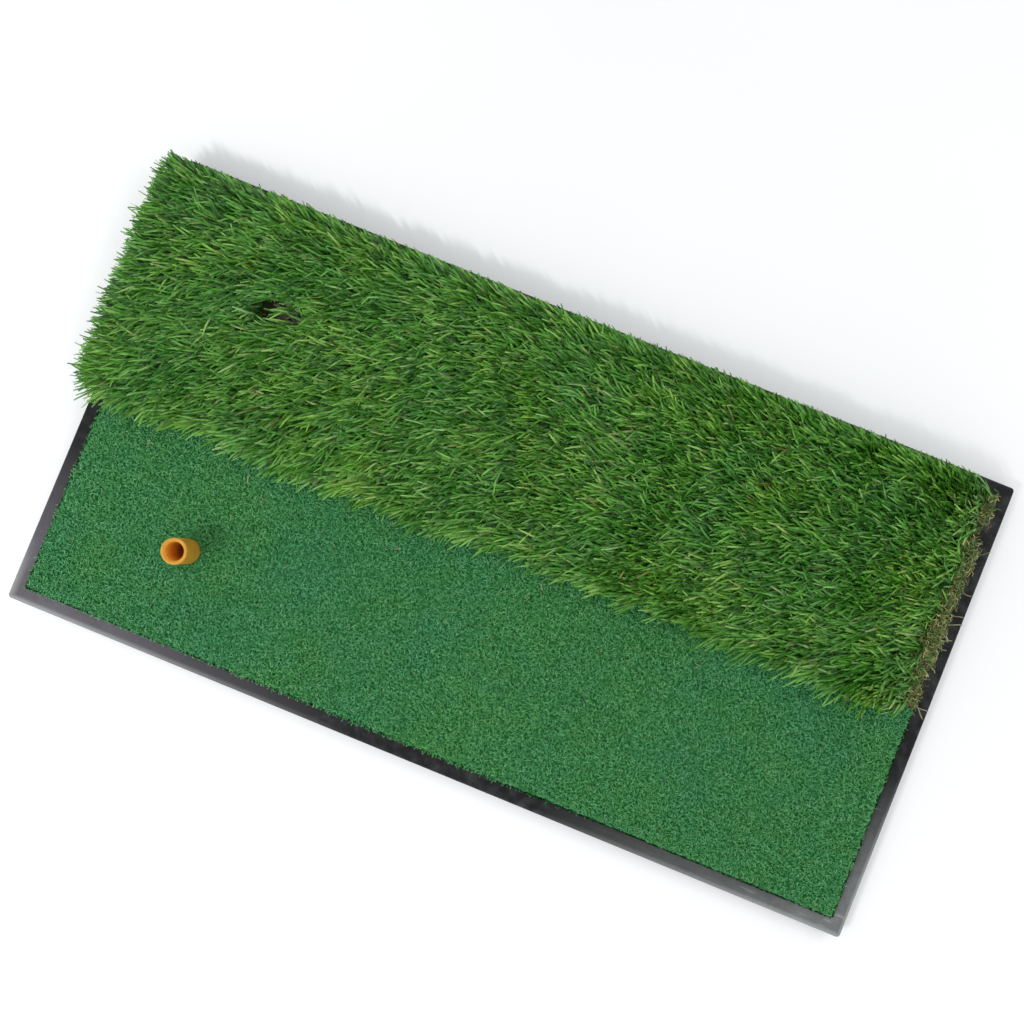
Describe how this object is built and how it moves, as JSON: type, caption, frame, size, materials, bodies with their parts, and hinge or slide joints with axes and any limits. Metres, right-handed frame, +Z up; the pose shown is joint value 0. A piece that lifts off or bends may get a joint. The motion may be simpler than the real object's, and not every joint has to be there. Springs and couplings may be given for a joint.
{
  "type": "golf hitting mat",
  "caption": "Rectangular golf hitting mat: a rimmed rubber tray with a short fairway turf strip, a taller rough turf strip and a flexible tubular rubber tee.",
  "frame": {"origin": "centre of the tray's underside, on the ground", "axes": "+X along the long side, away from the end with the tee holes; +Y from the fairway strip to the rough strip; +Z up"},
  "size_m": [0.6186, 0.326, 0.0503],
  "materials": {
    "tray_rubber": "matte moulded rubber",
    "glue": "dried contact adhesive",
    "latex": "matte latex coat",
    "cloth": "woven slit tape",
    "fairway_yarn": "short curled yarn",
    "thatch_yarn": "curly tan and olive yarn",
    "blade_yarn": "semi-gloss straight blades",
    "tee_rubber": "amber rubber, semi-matte"
  },
  "bodies": {
    "mat": {"base_tray": "tray_rubber", "fairway_glue": "glue", "fairway_latex": "latex", "fairway_cloth": "cloth", "fairway_pile": "fairway_yarn", "rough_glue": "glue", "rough_latex": "latex", "rough_cloth": "cloth", "rough_thatch": "thatch_yarn", "rough_blades": "blade_yarn"},
    "tee": {"tee_foot": "tee_rubber", "tee_neck": "tee_rubber"},
    "tee_tip": {"tee_tube": "tee_rubber"}
  },
  "joints": [
    {"name": "tee_pull", "type": "slide", "parent": "mat", "child": "tee", "axis": [0, 0, -1], "range_m": [0, 0.07]},
    {"name": "tee_flex", "type": "hinge", "parent": "tee", "child": "tee_tip", "pos_m": [-0.2, -0.087, 0.0276], "axis": [0, 1, 0], "range_deg": [-60, 60], "stiffness_Nm_per_rad": 1.6, "deforming": ["tee_neck"]}
  ]
}
